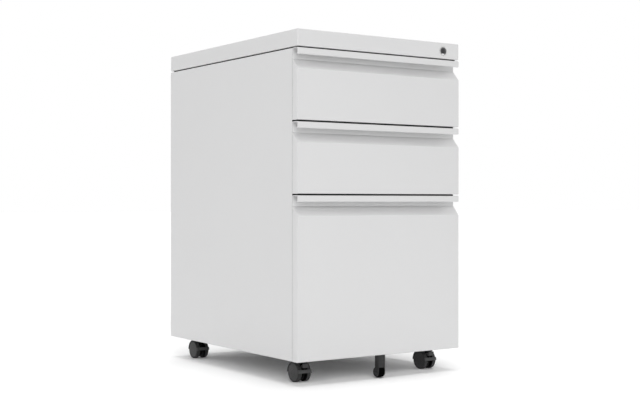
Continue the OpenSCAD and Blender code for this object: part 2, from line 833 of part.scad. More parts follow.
side_panels();
back_panel();
base_pan();
front_rail();
top_cover();
top_spacer();
slide_uprights();
outer_slide_rails();
lock_bar_guides();
lock_barrel();
lock_nut();
lock_plug();
lock_cam();
lock_bar();
caster_plates();
caster_fixings();
drawer_front(0);  // drawer_1_front
drawer_liner(0);  // drawer_1_liner
drawer_sides(0);  // drawer_1_sides
drawer_floor(0);  // drawer_1_floor
drawer_back(0);  // drawer_1_back
drawer_catch(0);  // drawer_1_catch
inner_rails(0);  // drawer_1_inner_rails
box_ball_cages(0);  // drawer_1_ball_cages
drawer_front(1);  // drawer_2_front
drawer_liner(1);  // drawer_2_liner
drawer_sides(1);  // drawer_2_sides
drawer_floor(1);  // drawer_2_floor
drawer_back(1);  // drawer_2_back
drawer_catch(1);  // drawer_2_catch
inner_rails(1);  // drawer_2_inner_rails
box_ball_cages(1);  // drawer_2_ball_cages
drawer_front(2);  // drawer_3_front
drawer_liner(2);  // drawer_3_liner
drawer_sides(2);  // drawer_3_sides
drawer_floor(2);  // drawer_3_floor
drawer_back(2);  // drawer_3_back
drawer_catch(2);  // drawer_3_catch
inner_rails(2);  // drawer_3_inner_rails
file_middle_rails();  // drawer_3_middle_rails
file_outer_ball_cages();  // drawer_3_outer_ball_cages
file_inner_ball_cages();  // drawer_3_inner_ball_cages
hanging_folder_bars();
fifth_wheel_bracket();
fifth_wheel_axle();
fifth_wheel_roller();
at_caster(0) caster_hood();  // caster_1_hood
at_caster(0) caster_axle();  // caster_1_axle
at_caster(0) caster_wheels();  // caster_1_wheels
at_caster(0) caster_brake();  // caster_1_brake
at_caster(1) caster_hood();  // caster_2_hood
at_caster(1) caster_axle();  // caster_2_axle
at_caster(1) caster_wheels();  // caster_2_wheels
at_caster(1) caster_brake();  // caster_2_brake
at_caster(2) caster_hood();  // caster_3_hood
at_caster(2) caster_axle();  // caster_3_axle
at_caster(2) caster_wheels();  // caster_3_wheels
at_caster(3) caster_hood();  // caster_4_hood
at_caster(3) caster_axle();  // caster_4_axle
at_caster(3) caster_wheels();  // caster_4_wheels
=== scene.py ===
import math

import bmesh
import bpy
import numpy as np
from bpy.props import FloatProperty, FloatVectorProperty, PointerProperty
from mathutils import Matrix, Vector


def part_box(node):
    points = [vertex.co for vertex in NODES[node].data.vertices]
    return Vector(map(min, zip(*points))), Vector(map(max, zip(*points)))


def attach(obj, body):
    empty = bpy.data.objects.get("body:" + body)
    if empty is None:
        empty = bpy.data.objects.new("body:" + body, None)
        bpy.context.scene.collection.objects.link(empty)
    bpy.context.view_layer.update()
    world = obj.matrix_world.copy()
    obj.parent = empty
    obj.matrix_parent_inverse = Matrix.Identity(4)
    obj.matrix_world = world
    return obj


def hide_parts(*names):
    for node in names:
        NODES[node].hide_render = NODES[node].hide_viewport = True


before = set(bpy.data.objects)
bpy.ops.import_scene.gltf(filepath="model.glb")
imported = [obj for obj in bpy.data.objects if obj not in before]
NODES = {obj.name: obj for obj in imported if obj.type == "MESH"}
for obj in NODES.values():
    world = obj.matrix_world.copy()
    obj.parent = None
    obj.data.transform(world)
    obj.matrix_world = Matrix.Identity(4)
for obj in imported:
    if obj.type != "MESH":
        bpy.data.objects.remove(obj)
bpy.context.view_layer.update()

bl_info = {
    "name": "Mobile Pedestal Looks",
    "version": (1, 0, 0),
    "blender": (4, 5, 0),
    "location": "View3D > Sidebar > Pedestal",
    "description": "Dresses the frame of a three-drawer mobile pedestal and sets up its studio",
    "category": "Object",
}

# ------------------------------------------------------------------ the frame


def box(node):
    """The lowest and highest corner of a CAD node, as arrays in metres."""
    low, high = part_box(node)
    return np.array(low), np.array(high)


SIDES = box("side_panels")
COVER = box("top_cover")
BARREL = box("lock_barrel")
PLUG = box("lock_plug")

HALF_W = float(COVER[1][0])
FRONT_Y = float(COVER[0][1])
BACK_Y = float(COVER[1][1])
TOP_Z = float(COVER[1][2])
COVER_Z = float(COVER[0][2])
SHELL_Y = float(SIDES[0][1])
SHELL_Z = float(SIDES[1][2])
BODY_Z = float(SIDES[0][2])
LOCK_X, LOCK_Z = (float(v) for v in (BARREL[0] + BARREL[1])[[0, 2]] / 2)
RIM_R = float(BARREL[1][0] - BARREL[0][0]) / 2
PLUG_R = float(PLUG[1][2] - PLUG[0][2]) / 2

# ------------------------------------------------------------------ settings


def length(name, description, default, low, high):
    """A length in metres that a user may change."""
    return FloatProperty(name=name, description=description, default=default, min=low, max=high,
                         unit="LENGTH", precision=5)


def colour(name, description, default):
    """A colour in linear light."""
    return FloatVectorProperty(name=name, description=description, default=default, size=3,
                               min=0, max=1, subtype="COLOR")


class PedestalSheet(bpy.types.PropertyGroup):
    thickness: length("Sheet", "Thickness of the casing's steel sheet", 0.001, 0.0006, 0.0015)
    bend: length("Bend", "Inside radius of the bends", 0.0008, 0.0003, 0.002)
    corner: length("Corner", "Outside radius of the side panels' upright corners", 0.0006, 0.0004, 0.003)
    reveal: length("Reveal", "How far the side panels' tops lie under the frame's top", 0.0004, 0.0, 0.001)
    # Near-black strips behind the drawer fronts' ends: painted shade that darkens the seams beside the fronts.
    seam_shade: length("Gasket", "Thickness of the foam strips behind the drawer fronts", 0.0004, 0.0003, 0.0009)
    seam_shade_w: length("Gasket width", "Width of those strips", 0.009, 0.005, 0.012)
    edge: length("Edge", "Rounding of the sheet's cut edges", 0.0004, 0.0001, 0.0005)
    cover_edge: length("Cover edge", "Radius of the top cover's outer edges", 0.0018, 0.0008, 0.004)
    flange: length("Flange", "Width of the flanges along the side panels", 0.015, 0.01, 0.02)
    lip: length("Lip", "Width of the lip under the cover's sides and back", 0.016, 0.01, 0.02)
    front_lip: length("Front lip", "Width of the lip under the cover's front", 0.029, 0.02, 0.035)


class PedestalPull(bpy.types.PropertyGroup):
    lip: length("Lip", "Height of the lip that hangs down at the top of a pull", 0.0124, 0.006, 0.016)
    hem: length("Hem", "How far the lip's lower edge turns in", 0.003, 0.001, 0.005)
    wall: length("Wall", "Height of the wall at the back of a pull", 0.0201, 0.014, 0.026)
    slope: length("Slope", "Height at which the slope reaches the face", 0.0388, 0.03, 0.045)


# Near-black strips in the gaps between the drawer fronts: painted shade that darkens those gaps.
class PedestalGapShade(bpy.types.PropertyGroup):
    tall: length("Seal", "Height of the rubber strip in the gap over a drawer front", 0.0025, 0.0008, 0.0026)
    setback: length("Seal setback", "How far the strip lies behind the face", 0.0008, 0.0005, 0.006)
    deep: length("Seal depth", "Depth of the strip", 0.008, 0.003, 0.012)
    short: length("Seal end", "How far the strip stops short of the front's right end", 0.014, 0.001, 0.02)


class PedestalLock(bpy.types.PropertyGroup):
    barrel: length("Barrel", "Radius of the barrel behind the rim", 0.0073, 0.006, 0.008)
    edge: length("Rim edge", "Rounding of the rim's outer edge", 0.0006, 0.0002, 0.001)
    dish: length("Dish", "Radius of the dark dish in the rim", 0.0078, 0.0065, 0.009)
    slope: length("Dish slope", "Depth of the dish's slope", 0.0011, 0.0005, 0.0025)
    sink: length("Sink", "Depth of the plug's face below the rim's", 0.0016, 0.0005, 0.0025)


class PedestalWheel(bpy.types.PropertyGroup):
    space: length("Wheel space", "Width between a caster's two wheels", 0.012, 0.01, 0.014)
    tread: length("Tread", "Thickness of the tread round a wheel's disc", 0.0019, 0.0015, 0.004)
    edge: length("Tyre edge", "Radius of the tyre's outer edge", 0.0016, 0.001, 0.0018)
    cap: length("Hub cap", "Radius of the cap over a wheel's hub", 0.0062, 0.004, 0.01)
    dome: length("Dome", "How far a wheel's disc bulges out", 0.0006, 0.0, 0.002)
    hollow: length("Hollow", "Radius of the hollow inside a caster's hood", 0.0188, 0.015, 0.02)
    soft: length("Moulded edge", "Rounding of the mouldings' edges", 0.0004, 0.0001, 0.0006)


class PedestalPaint(bpy.types.PropertyGroup):
    coat: colour("Powder coat", "Colour of the casing and the drawer fronts", (0.692, 0.692, 0.694))
    tray: colour("Tray paint", "Colour inside the drawers", (0.60, 0.60, 0.595))
    zinc: colour("Zinc", "Colour of the galvanised slides and frame", (0.62, 0.635, 0.65))
    cage: colour("Ball cage", "Colour of the slides' ball cages", (0.55, 0.55, 0.56))
    nickel: colour("Nickel", "Colour of the axles and screws", (0.78, 0.77, 0.75))
    rim: colour("Rim", "Colour of the lock's rim", (0.56, 0.56, 0.555))
    # Dark dish: partly a dark plating, partly painted shade and dark reflections in the lock's recess.
    dish_plating_and_shade: colour("Dark chrome", "Colour of the dish in the lock's rim", (0.13, 0.13, 0.132))
    core: colour("Core", "Colour of the lock's plug", (0.06, 0.06, 0.063))
    guide: colour("Guide", "Colour of the lock bar's guides", (0.6, 0.59, 0.56))
    bracket: colour("Bracket", "Colour of the fifth wheel's bracket", (0.02, 0.02, 0.0205))
    roller: colour("Roller", "Colour of the fifth wheel's roller", (0.003, 0.003, 0.003))
    nylon: colour("Nylon", "Colour of the casters' mouldings", (0.085, 0.085, 0.0855))
    # Painted shade: this near-black tint inside the casters' hoods and between their wheels stands in for the deeper
    # shadow there.
    painted_well_shade: colour("Well", "Colour inside the casters' mouldings", (0.003, 0.003, 0.003))
    wheel: colour("Wheel", "Colour of the caster wheels' discs", (0.068, 0.068, 0.0685))
    tread: colour("Tread", "Colour of the caster wheels' treads", (0.05, 0.05, 0.0505))
    # Near-black of the top spacer and of the strips in the seams and gaps; in those strips it is painted shade, and in
    # the spacer partly too.
    gap_shade_tone: colour("Spacer", "Colour of the strips in the gaps", (0.008, 0.008, 0.008))
    peel: FloatProperty(name="Orange peel", description="Strength of the coat's fine waviness", default=0.12,
                        min=0, max=1, subtype="FACTOR")


class PedestalStudio(bpy.types.PropertyGroup):
    floor: colour("Floor", "Colour of the floor", (0.85, 0.85, 0.85))
    dome: FloatProperty(name="Dome", description="Strength of the even light all round", default=0.217, min=0, max=2)
    over: FloatProperty(name="Overhead", description="Strength of the light from above", default=1.46, min=0, max=5)
    front: FloatProperty(name="Front", description="Strength of the light on the front", default=1.556, min=0, max=5)
    left: FloatProperty(name="Left", description="Strength of the light on the left side", default=0.437,
                        min=0, max=5)
    glint: FloatProperty(name="Glint", description="Strength of the light that only bright metal mirrors", default=4.0,
                         min=0, max=9)
    back: FloatProperty(name="Back", description="Strength of the light from behind, right", default=0.922,
                        min=0, max=5)


# ------------------------------------------------------------------ shapes

SHARP = 32  # degrees between two faces past which their edge stays sharp
TINY = 1e-12  # the least length that is divided by
HAIR = 0.0001  # keeps two faces out of one plane
MITRE_LIMIT = 0.3  # keeps the mitre of a very pointed corner short
WHEEL_STEPS = 72
LOCK_STEPS = 96


def grid(points, wrap_rows=False, wrap_columns=False):
    """Four-sided faces over a grid of points: every cell between two rows and two columns is one face."""
    rows, columns = points.shape[:2]
    at = np.arange(rows * columns).reshape(rows, columns)
    if wrap_rows:
        at = np.vstack([at, at[:1]])
    if wrap_columns:
        at = np.hstack([at, at[:, :1]])
    quads = np.stack([at[:-1, :-1], at[1:, :-1], at[1:, 1:], at[:-1, 1:]], axis=-1).reshape(-1, 4)
    return points.reshape(-1, 3), quads, []


def capped(points):
    """A closed ring per row, joined row to row, with the first and last ring closed by one face each."""
    vertices, quads, _ = grid(points, wrap_columns=True)
    first = np.arange(points.shape[1])
    return vertices, quads, [first, first + len(vertices) - len(first)]


def joined(*shapes):
    """Several shapes as one: their vertices follow each other, and each one's faces count from its own first."""
    vertices, quads, caps, start = [], [], [], 0
    for v, q, c in shapes:
        vertices.append(v)
        quads.append(q + start)
        caps += [cap + start for cap in c]
        start += len(v)
    return np.vstack(vertices), np.vstack(quads), caps


def mirrored(shape):
    """The shape and its mirror image across the middle plane x = 0."""
    v, q, c = shape
    return joined(shape, (v * [-1, 1, 1], q[:, ::-1], [cap[::-1] for cap in c]))


def rounded(corners, radii, steps=6):
    """An outline with each corner replaced by an arc: the arc's centre lies on the corner's bisector, at the
    distance where the circle touches both sides, and the arc turns from one side's normal to the other's."""
    points = []
    corners = np.asarray(corners, float)
    count = len(corners)
    radii = np.broadcast_to(radii, count)
    for i in range(count):
        here = corners[i]
        if radii[i] <= 0:
            points.append(here[None])
            continue
        a = corners[i - 1] - here
        b = corners[(i + 1) % count] - here
        a, b = a / np.linalg.norm(a), b / np.linalg.norm(b)
        half = math.acos(np.clip(a @ b, -1, 1)) / 2
        centre = here + (a + b) / np.linalg.norm(a + b) * radii[i] / math.sin(half)
        start = here + a * radii[i] / math.tan(half) - centre
        end = here + b * radii[i] / math.tan(half) - centre
        turn = math.atan2(start[0] * end[1] - start[1] * end[0], start @ end)
        t = np.linspace(0, turn, steps + 1)[:, None]
        across = np.array([-start[1], start[0]])
        points.append(centre + np.cos(t) * start + np.sin(t) * across)
    return np.vstack(points)


def edge_arc(x, y, dx, dy, count=6):
    """Points on a quarter circle that rounds the corner (x, y): x + dx (1 - sin a), y + dy (1 - cos a) for an angle a
    from 0 to 90 degrees, so from (x + dx, y) to (x, y + dy)."""
    return [(x + dx * (1 - math.sin(a)), y + dy * (1 - math.cos(a))) for a in np.linspace(0, math.pi / 2, count)]


def bent_strip(path, thickness, bend, steps=6):
    """The outline of a bent sheet, from the corners of the face that lies to its right: the second face is the
    first one moved to the left by the sheet's thickness, and each bend has the same middle on both faces."""
    path = np.asarray(path, float)
    along = np.diff(path, axis=0)
    along /= np.linalg.norm(along, axis=1)[:, None]
    left = np.stack([-along[:, 1], along[:, 0]], axis=1)
    mitre = left[:-1] + left[1:]
    mitre /= (1 + (left[:-1] * left[1:]).sum(1))[:, None]
    offset = np.vstack([left[:1], mitre, left[-1:]])
    turn = along[:-1, 0] * along[1:, 1] - along[:-1, 1] * along[1:, 0]
    near = np.concatenate([[0], np.where(turn > 0, bend + thickness, bend), [0]])
    far = np.concatenate([[0], np.where(turn > 0, bend, bend + thickness), [0]])
    corners = np.vstack([path, (path + offset * thickness)[::-1]])
    return rounded(corners, np.concatenate([near, far[::-1]]), steps)


def anticlockwise(outline):
    """The outline, turned round if it runs clockwise, by the sign of its enclosed area."""
    x, y = outline.T
    area = (x * np.roll(y, -1) - y * np.roll(x, -1)).sum()
    return outline if area > 0 else outline[::-1]


def inset(outline, depth):
    """The outline moved inwards: each point goes along the mitre of its two sides' normals."""
    before = outline - np.roll(outline, 1, axis=0)
    after = np.roll(outline, -1, axis=0) - outline
    before = before / np.maximum(np.linalg.norm(before, axis=1), TINY)[:, None]
    after = after / np.maximum(np.linalg.norm(after, axis=1), TINY)[:, None]
    n1 = np.stack([-before[:, 1], before[:, 0]], axis=1)
    n2 = np.stack([-after[:, 1], after[:, 0]], axis=1)
    mitre = (n1 + n2) / np.maximum(1 + (n1 * n2).sum(1), MITRE_LIMIT)[:, None]
    return outline + mitre * depth


def placed(outline, along, level):
    """An outline in the plane across an axis, at one level of that axis; axis 0 takes (y, z), 1 (x, z), 2 (x, y)."""
    return np.insert(outline, along, level, axis=1)


def bar(outline, along, start, end, edge=0.0, steps=3):
    """A profile carried straight along an axis. Near both ends it shrinks on a quarter circle of radius edge, so
    that its ends are softly rounded."""
    outline = anticlockwise(np.asarray(outline, float))
    turn = np.linspace(0, math.pi / 2, steps + 1) if edge > 0 else np.array([math.pi / 2])
    depth = edge * (1 - np.sin(turn))
    travel = edge * (1 - np.cos(turn))
    rings = [placed(inset(outline, d), along, start + s) for d, s in zip(depth, travel)]
    rings += [placed(inset(outline, d), along, end - s) for d, s in zip(depth[::-1], travel[::-1])]
    return capped(np.stack(rings))


def turned(outline, middle, along, count=64):
    """A profile of (distance along the axis, radius) points turned about an axis through middle: each point makes
    a circle. A profile that starts and ends on the axis is closed there."""
    outline = np.asarray(outline, float)
    angle = np.linspace(0, 2 * math.pi, count, endpoint=False)
    points = np.zeros((len(outline), count, 3))
    a, b = [k for k in range(3) if k != along]
    points[..., along] = outline[:, :1]
    points[..., a] = outline[:, 1:] * np.cos(angle)
    points[..., b] = outline[:, 1:] * np.sin(angle)
    closed = outline[0, 1] > 1e-6 or outline[-1, 1] > 1e-6
    return grid(points + np.asarray(middle), wrap_rows=closed, wrap_columns=True)


# ------------------------------------------------------------------ pieces


def piece(name, shape, body, material, replaces=(), sharp=SHARP, weld=False):
    """Makes a mesh object from a shape, with its faces outwards, smooth but for edges sharper than an angle, gives it
    the material, hangs it on the body it rides on and hides the nodes it stands in for."""
    vertices, quads, caps = shape
    mesh = bpy.data.meshes.new(name)
    mesh.vertices.add(len(vertices))
    mesh.vertices.foreach_set("co", np.ascontiguousarray(vertices, np.float32).ravel())
    corners = np.concatenate([quads.ravel(), *caps]).astype(np.int32)
    sizes = np.concatenate([np.full(len(quads), 4), [len(cap) for cap in caps]]).astype(np.int32)
    mesh.loops.add(len(corners))
    mesh.loops.foreach_set("vertex_index", corners)
    mesh.polygons.add(len(sizes))
    mesh.polygons.foreach_set("loop_start", np.concatenate([[0], np.cumsum(sizes)[:-1]]).astype(np.int32))
    mesh.polygons.foreach_set("loop_total", sizes)
    mesh.update(calc_edges=True)
    obj = bpy.data.objects.new(name, mesh)
    bpy.context.scene.collection.objects.link(obj)
    tidy_mesh(mesh, weld)
    mesh.shade_smooth()
    mesh.set_sharp_from_angle(angle=math.radians(sharp))
    mesh.materials.append(material)
    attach(obj, body)
    if replaces:
        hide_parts(*replaces)
    return obj


def tidy_mesh(mesh, weld):
    """Closes poles and seams by merging doubles where asked, and turns every closed shell's faces outwards."""
    bm = bmesh.new()
    bm.from_mesh(mesh)
    if weld:
        bmesh.ops.remove_doubles(bm, verts=bm.verts, dist=1e-7)
        bmesh.ops.dissolve_degenerate(bm, edges=bm.edges, dist=1e-8)
    bmesh.ops.recalc_face_normals(bm, faces=bm.faces)
    bm.to_mesh(mesh)
    bm.free()
    mesh.update()


def cut(obj, cutter):
    """Takes the cutter's shape out of the piece and applies the result."""
    tool = bpy.data.objects.new("cutter", bpy.data.meshes.new("cutter"))
    vertices, quads, caps = cutter
    tool.data.from_pydata(vertices.tolist(), [], quads.tolist() + [cap.tolist() for cap in caps])
    tidy_mesh(tool.data, True)
    bpy.context.scene.collection.objects.link(tool)
    modifier = obj.modifiers.new("cut", "BOOLEAN")
    modifier.operation = "DIFFERENCE"
    modifier.solver = "EXACT"
    modifier.object = tool
    bpy.context.view_layer.update()
    graph = bpy.context.evaluated_depsgraph_get()
    mesh = bpy.data.meshes.new_from_object(obj.evaluated_get(graph), depsgraph=graph)
    obj.modifiers.clear()
    old, name = obj.data, obj.data.name
    obj.data = mesh
    bpy.data.meshes.remove(old)
    mesh.name = name
    bpy.data.objects.remove(tool)
    mesh.shade_smooth()
    mesh.set_sharp_from_angle(angle=math.radians(SHARP))


def soften(node, width):
    """Rounds a CAD node's edges in view: its loose triangles are welded, and edges past 40 degrees are bevelled."""
    obj = NODES[node]
    weld = obj.modifiers.new("weld", "WELD")
    weld.merge_threshold = 1e-6
    bevel = obj.modifiers.new("soft_edges", "BEVEL")
    bevel.width = width
    bevel.segments = 2
    bevel.limit_method = "ANGLE"
    bevel.angle_limit = math.radians(40)
    bevel.harden_normals = False


def dress(material, *names):
    """Gives CAD nodes a material in place of their plain one."""
    for name in names:
        slots = NODES[name].data.materials
        slots.clear()
        slots.append(material)


# ------------------------------------------------------------------ finishes


def group_tree(name, inputs, outputs):
    """A new shader node group with named sockets. Returns the group and its input and output nodes."""
    tree = bpy.data.node_groups.new(name, "ShaderNodeTree")
    for label, kind, default in inputs:
        socket = tree.interface.new_socket(name=label, in_out="INPUT", socket_type=kind)
        if default is not None:
            socket.default_value = default
    for label, kind in outputs:
        tree.interface.new_socket(name=label, in_out="OUTPUT", socket_type=kind)
    return tree, tree.nodes.new("NodeGroupInput"), tree.nodes.new("NodeGroupOutput")


def feed(tree, node, values):
    """Gives each of a node's inputs, by name or number, a plain value or another node's output."""
    for key, value in values.items():
        if isinstance(value, bpy.types.NodeSocket):
            tree.links.new(value, node.inputs[key])
        else:
            node.inputs[key].default_value = value
    return node


def calculated(tree, operation, *inputs):
    """The result of a Math node."""
    node = tree.nodes.new("ShaderNodeMath")
    node.operation = operation
    return feed(tree, node, dict(enumerate(inputs))).outputs[0]


def noise(tree, vector, scale, detail, rough=0.5):
    """A noise texture read at a vector."""
    node = tree.nodes.new("ShaderNodeTexNoise")
    return feed(tree, node, {"Vector": vector, "Scale": scale, "Detail": detail, "Roughness": rough}).outputs["Fac"]


def between(tree, value, low, high):
    """Maps a noise's usual range, 0.3 to 0.7, to low to high."""
    node = tree.nodes.new("ShaderNodeMapRange")
    feed(tree, node, {"Value": value, "From Min": 0.3, "From Max": 0.7, "To Min": low, "To Max": high})
    return node.outputs["Result"]


def shaded(tree, tint, value):
    """A colour multiplied by a value."""
    node = tree.nodes.new("ShaderNodeVectorMath")
    node.operation = "SCALE"
    return feed(tree, node, {0: tint, "Scale": value}).outputs["Vector"]


def stretched(tree, vector, scale):
    """The vector with its axes scaled, for a grain that runs one way."""
    node = tree.nodes.new("ShaderNodeMapping")
    return feed(tree, node, {"Vector": vector, "Scale": scale}).outputs["Vector"]


def well_shade_mask():
    """The mask for painted shade in the casters: one inside the casters and zero outside. Inside is within Reach of
    the nearest axle, whose distance is the root of (| |y - Between| - Apart | squared plus (z - Height) squared), and
    within Half of the nearest middle plane, at | |x| - Out |."""
    sockets = [("Vector", "NodeSocketVector", None)]
    sockets += [(name, "NodeSocketFloat", 0.0) for name in ("Between", "Apart", "Height", "Reach", "Out", "Half")]
    tree, given, out = group_tree("well_shade_mask", sockets, [("Mask", "NodeSocketFloat")])
    split = tree.nodes.new("ShaderNodeSeparateXYZ")
    tree.links.new(given.outputs["Vector"], split.inputs[0])

    def step(operation, *inputs):
        return calculated(tree, operation, *inputs)

    def off(value, middle):
        return step("SUBTRACT", value, given.outputs[middle])

    near = off(step("ABSOLUTE", off(split.outputs["Y"], "Between")), "Apart")
    up = off(split.outputs["Z"], "Height")
    far = step("SQRT", step("ADD", step("MULTIPLY", near, near), step("MULTIPLY", up, up)))
    side = step("ABSOLUTE", off(step("ABSOLUTE", split.outputs["X"]), "Out"))
    both = step("MULTIPLY", step("LESS_THAN", far, given.outputs["Reach"]),
                step("LESS_THAN", side, given.outputs["Half"]))
    tree.links.new(both, out.inputs["Mask"])
    return tree


def paint_well_shade(made, group, reach, half, tint):
    """Paints shade into a finished material: a near-black tint inside the casters, standing in for the deeper shadow
    there.
    """
    tree = made.node_tree
    front, rear = wheel_middle("caster_2_wheels")[0], wheel_middle("caster_4_wheels")[0]
    mask, mix = tree.nodes.new("ShaderNodeGroup"), tree.nodes.new("ShaderNodeMix")
    mask.node_tree, mix.data_type = group, "RGBA"
    feed(tree, mask, {"Vector": tree.nodes["Texture Coordinate"].outputs["Object"],
                      "Between": (front[1] + rear[1]) / 2, "Apart": (rear[1] - front[1]) / 2, "Height": front[2],
                      "Reach": reach, "Out": front[0], "Half": half})
    tint_in = tree.nodes["Principled BSDF"].inputs["Base Color"]
    feed(tree, mix, {"Factor": mask.outputs["Mask"], "A": tint_in.links[0].from_socket, "B": (*tint, 1)})
    tree.links.new(mix.outputs["Result"], tint_in)


FINISH = "pedestal_"  # apart from the frame's own plain materials
FINISH_IN = [("Vector", "NodeSocketVector", None), ("Tint", "NodeSocketColor", (0.5, 0.5, 0.5, 1)),
             ("Scale", "NodeSocketFloat", 900.0), ("Roughness", "NodeSocketFloat", 0.4),
             ("Spread", "NodeSocketFloat", 0.05), ("Mottle", "NodeSocketFloat", 0.01)]
FINISH_OUT = [("Color", "NodeSocketColor"), ("Roughness", "NodeSocketFloat"), ("Height", "NodeSocketFloat")]


def finish_tail(tree, given, out, tone, gloss, height):
    """Joins a finish group's values to its outputs: the tint times 1 plus or minus Mottle by tone, the roughness
    plus or minus Spread by gloss, and the height as it is."""
    def around(value, middle, spread):
        return between(tree, value, calculated(tree, "SUBTRACT", middle, spread),
                       calculated(tree, "ADD", middle, spread))

    tree.links.new(shaded(tree, given.outputs["Tint"], around(tone, 1.0, given.outputs["Mottle"])),
                   out.inputs["Color"])
    tree.links.new(around(gloss, given.outputs["Roughness"], given.outputs["Spread"]), out.inputs["Roughness"])
    tree.links.new(height, out.inputs["Height"])


def orange_peel():
    """Powder coat: fine waves about a millimetre apart, with finer grain on them and a faint wide mottle."""
    tree, given, out = group_tree("orange_peel", FINISH_IN, FINISH_OUT)
    at = given.outputs["Vector"]
    waves = noise(tree, at, given.outputs["Scale"], 1.0)
    grain = noise(tree, at, 2600.0, 1.0)
    height = calculated(tree, "MULTIPLY_ADD", grain, 0.35, waves)
    finish_tail(tree, given, out, noise(tree, at, 4.0, 3.0), noise(tree, at, 260.0, 2.0), height)
    return tree


def drawn_zinc():
    """Galvanised strip: crystal flakes of slightly different tone, under fine lines along the strip."""
    tree, given, out = group_tree("drawn_zinc", FINISH_IN, FINISH_OUT)
    at = given.outputs["Vector"]
    flakes = tree.nodes.new("ShaderNodeTexVoronoi")
    feed(tree, flakes, {"Vector": at, "Scale": given.outputs["Scale"]})
    split = tree.nodes.new("ShaderNodeSeparateColor")
    tree.links.new(flakes.outputs["Color"], split.inputs["Color"])
    lines = noise(tree, stretched(tree, at, (1.0, 0.02, 1.0)), 2200.0, 2.0)
    height = calculated(tree, "MULTIPLY_ADD", split.outputs["Blue"], 0.15, lines)
    finish_tail(tree, given, out, split.outputs["Red"], split.outputs["Green"], height)
    return tree


def moulded_grain():
    """Moulded nylon: spark-eroded grain of a third of a millimetre, with wide patches of handling shine."""
    tree, given, out = group_tree("moulded_grain", FINISH_IN, FINISH_OUT)
    at = given.outputs["Vector"]
    grain = noise(tree, at, given.outputs["Scale"], 2.0, 0.6)
    finish_tail(tree, given, out, noise(tree, at, 45.0, 3.0), noise(tree, at, 90.0, 3.0), grain)
    return tree


def machined_metal():
    """Turned and plated metal: faint rings and scratches, with small differences in shine."""
    tree, given, out = group_tree("machined_metal", FINISH_IN, FINISH_OUT)
    at = given.outputs["Vector"]
    marks = noise(tree, stretched(tree, at, (1.0, 0.08, 1.0)), given.outputs["Scale"], 3.0)
    finish_tail(tree, given, out, noise(tree, at, 130.0, 2.0), marks, noise(tree, at, 900.0, 2.0))
    return tree


def finish(name, group, tint, scale, roughness, spread, mottle, bump, distance, metallic=0.0, specular=0.5):
    """A material: one Principled shader whose colour, roughness and bump come from a finish group. Its numbers are
    the grain's scale per metre, the roughness and how far it strays, how far the tone strays, and the strength and
    depth in metres of the bump."""
    made = bpy.data.materials.new(FINISH + name)
    made.use_nodes = True
    tree = made.node_tree
    shader = tree.nodes["Principled BSDF"]
    where = tree.nodes.new("ShaderNodeTexCoord")
    node = tree.nodes.new("ShaderNodeGroup")
    node.node_tree = group
    feed(tree, node, {"Vector": where.outputs["Object"], "Tint": (*tint, 1), "Scale": scale,
                      "Roughness": roughness, "Spread": spread, "Mottle": mottle})
    relief = tree.nodes.new("ShaderNodeBump")
    feed(tree, relief, {"Strength": bump, "Distance": distance, "Height": node.outputs["Height"]})
    feed(tree, shader, {"Base Color": node.outputs["Color"], "Roughness": node.outputs["Roughness"],
                        "Normal": relief.outputs["Normal"], "Metallic": metallic, "Specular IOR Level": specular})
    made.diffuse_color = (*tint, 1)
    return made


def material(name):
    """A finish made by the finishes operator."""
    found = bpy.data.materials.get(FINISH + name)
    if found is None:
        raise RuntimeError(f"make the finishes before the piece that uses {name}")
    return found


